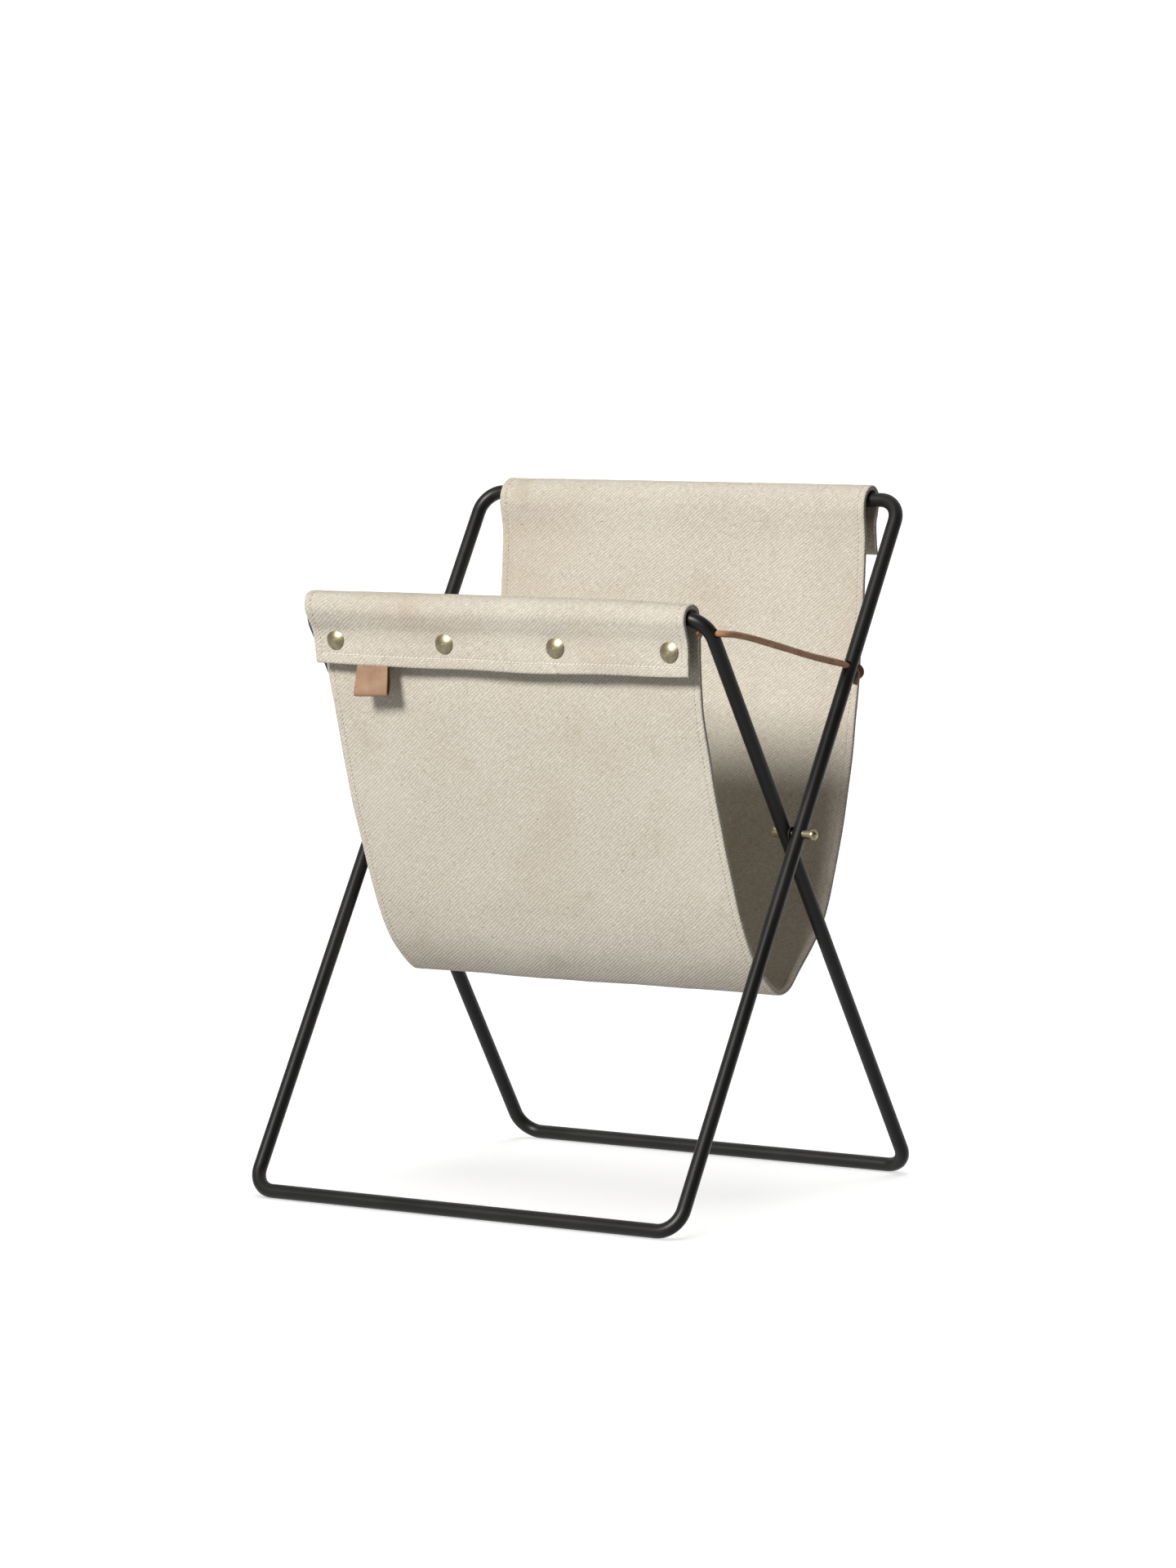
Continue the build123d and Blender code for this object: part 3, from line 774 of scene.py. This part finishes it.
def washer_material(name):
    """Dull black plastic with a fine grain."""
    m = Material(name, Specular_IOR_Level=0.35)
    where = m.place("Object")
    grain = m.noise(where, 1800.0, detail=2.0)
    m.link(Base_Color=m.mix(grain, colour(24, 24, 24), colour(38, 38, 37)))
    m.link(Roughness=m.span(grain, 0.3, 0.7, 0.5, 0.7), Normal=m.bump(grain, 0.2, 0.08 * MM))
    return m.material


canvas = canvas_material("canvas")
# The hems' thread is whiter than the side seams', which is close to the cloth's colour.
side_thread = thread_material("side_thread", colour(216, 209, 195), colour(186, 177, 160))
hem_thread = thread_material("hem_thread", colour(248, 245, 238), colour(228, 222, 208))
cord_leather = leather_material(
    "cord_leather", colour(202, 152, 114), colour(160, 114, 80), kind="UV", pores=1500.0
)
knot_leather = leather_material(
    "knot_leather", colour(158, 114, 84), colour(112, 76, 54), kind="Object", pores=1500.0
)
tag_leather = leather_material(
    "tag_leather", colour(171, 138, 110), colour(149, 114, 87), kind="UV", pores=1900.0
)
powder_coat = powder_coat_material("powder_coat")
cap_brass = brass_material("cap_brass", colour(188, 178, 150), colour(158, 147, 117), gloss=0.33)
pivot_brass = brass_material("pivot_brass", colour(214, 204, 172), colour(166, 150, 112), gloss=0.24)
washer_black = washer_material("washer_black")


def finish(piece, material):
    """Give a piece this material and no other."""
    piece.data.materials.clear()
    piece.data.materials.append(material)


# What a CAD node is made of, by how its name starts; the frames are what is left over.
node_finishes = [
    ("pivot_washer", washer_black),
    ("pivot", pivot_brass),
    ("front_snap", cap_brass),
    ("back_snap", cap_brass),
    ("cord", knot_leather),
    ("tie", knot_leather),
    ("leather_tag", tag_leather),
    ("sling", canvas),
    ("", powder_coat),
]
for name, node in cad_nodes.items():
    chosen = next(material for start, material in node_finishes if name.startswith(start))
    for material_slot in node.material_slots:
        material_slot.material = chosen
    if not node.material_slots:
        finish(node, chosen)

finish(sling, canvas)
finish(stitching, side_thread)
stitching.data.materials.append(hem_thread)
for index in hem_stitch_faces:
    stitching.data.polygons[index].material_index = 1
finish(tag, tag_leather)
for piece in cord_pieces.values():
    finish(piece, cord_leather)
for piece in knot_pieces.values():
    finish(piece, knot_leather)

# ---- How the pieces move, and what they stand for ----
for piece in (sling, stitching):
    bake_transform(piece)
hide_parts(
    "sling_front_outer_cloth",
    "sling_front_lining",
    "sling_back_outer_cloth",
    "sling_back_lining",
)
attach(tag, "sling_front")
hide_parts("leather_tag")
for side_name in SIDES:
    cord = cord_pieces[side_name]
    front = knot_pieces[side_name, "front"]
    rear = knot_pieces[side_name, "rear"]
    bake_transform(cord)
    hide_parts(f"tie_cord_{side_name}")
    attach(front, "inner_frame")
    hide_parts(f"cord_front_knot_{side_name}")
    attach(rear, "outer_frame")
    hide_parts(f"cord_rear_knot_{side_name}")

# ---- Floor and background ----
WHITE = (1, 1, 1, 1)
reach = 30.0
corners = [(-reach, -reach, 0), (reach, -reach, 0), (reach, reach, 0), (-reach, reach, 0)]
floor = mesh_object("floor", corners, [(0, 1, 2, 3)])
floor_finish = Material("pale_floor", Roughness=0.9, Specular_IOR_Level=0.1, Emission_Strength=0.64)
tone = floor_finish.noise(floor_finish.place("Object"), 2.0)
pale = floor_finish.mix(tone, colour(228, 228, 228), colour(234, 234, 234))
floor_finish.link(Base_Color=pale)
floor_finish.shader.inputs["Emission Color"].default_value = WHITE
finish(floor, floor_finish.material)


def build_backdrop(radius, height, sides=64):
    """A round white wall, open at the top, that only the camera sees."""
    angles = [math.tau * n / sides for n in range(sides)]
    ring = [(math.cos(angle) * radius, math.sin(angle) * radius) for angle in angles]
    below_floor = -0.02
    points = [(x, y, z) for z in (below_floor, height) for x, y in ring]
    faces = [(n, (n + 1) % sides, sides + (n + 1) % sides, sides + n) for n in range(sides)]
    made = mesh_object("backdrop", points, faces)
    white = Material("white_paper", Roughness=1.0, Specular_IOR_Level=0.0, Emission_Strength=1.0)
    white.shader.inputs["Emission Color"].default_value = WHITE
    fibre = white.noise(white.place("Object"), 3.0)
    white.link(Base_Color=white.mix(fibre, colour(240, 240, 240), colour(248, 248, 248)))
    finish(made, white.material)
    return made


backdrop = build_backdrop(radius=24.0, height=26.0)
for stage_piece in (floor, backdrop):
    stage_piece.visible_diffuse = False
    stage_piece.visible_glossy = False
backdrop.visible_shadow = False


# ---- Lights ----
def add_sun(name, strength, spread, come_from=(0, 0, 1), tint=(1, 1, 1)):
    """A far light; spread is its width in degrees, and come_from points from the rack to it."""
    sun = new_object(name, bpy.data.lights.new(name, "SUN"))
    sun.data.energy = strength
    sun.data.angle = math.radians(spread)
    sun.data.color = tint
    sun.rotation_euler = Vector(come_from).to_track_quat("Z", "Y").to_euler()
    return sun


key = add_sun("key_light", 3.5, 16, come_from=(-0.06, -0.85, 0.50), tint=(1.0, 0.985, 0.96))
add_sun("top_light", 0.12, 50, come_from=(-0.15, -0.1, 1.0))
# The key's long shadow stays off the floor, where a light of its own leaves a short soft one.
floor_light = add_sun("floor_light", 1.0, 34)
for light, state in ((key, "EXCLUDE"), (floor_light, "INCLUDE")):
    lit = bpy.data.collections.new(f"{light.name}_floor")
    lit.objects.link(floor)
    lit.collection_objects[0].light_linking.link_state = state
    light.light_linking.receiver_collection = lit

world = bpy.data.worlds.new("studio")
scene.world = world
world.use_nodes = True
tree = world.node_tree
sky = tree.nodes["Background"]
way = tree.nodes.new("ShaderNodeTexCoord").outputs["Generated"]


def world_fade(direction, low, high, to_low, to_high):
    """Brightness that changes smoothly with the share of a direction that light comes from."""
    dot = tree.nodes.new("ShaderNodeVectorMath")
    dot.operation = "DOT_PRODUCT"
    dot.inputs[1].default_value = direction  # the light's, as seen from the rack
    fade = tree.nodes.new("ShaderNodeMapRange")
    fade.interpolation_type = "SMOOTHSTEP"
    fade.inputs["From Min"].default_value = low
    fade.inputs["From Max"].default_value = high
    fade.inputs["To Min"].default_value = to_low
    fade.inputs["To Max"].default_value = to_high
    tree.links.new(way, dot.inputs[0])
    tree.links.new(dot.outputs["Value"], fade.inputs["Value"])
    return fade.outputs["Result"]


# The studio is bright on the left and dark on the right, its floor throws light back up, and
# there is a soft light behind the rack.
brightness = world_fade((0.93, -0.1, 0.2), -0.7, 0.5, 0.25, 0.02)
floor_glow = world_fade((0, 0, -1), -0.05, 0.25, 0.0, 0.36)
back_glow = world_fade((-0.2, 0.95, 0.2), 0.1, 0.9, 0.0, 0.60)
for part in (floor_glow, back_glow):
    both = tree.nodes.new("ShaderNodeMath")
    tree.links.new(brightness, both.inputs[0])
    tree.links.new(part, both.inputs[1])
    brightness = both.outputs[0]
tree.links.new(brightness, sky.inputs["Strength"])
sky.inputs["Color"].default_value = WHITE

scene.view_settings.view_transform = "Standard"
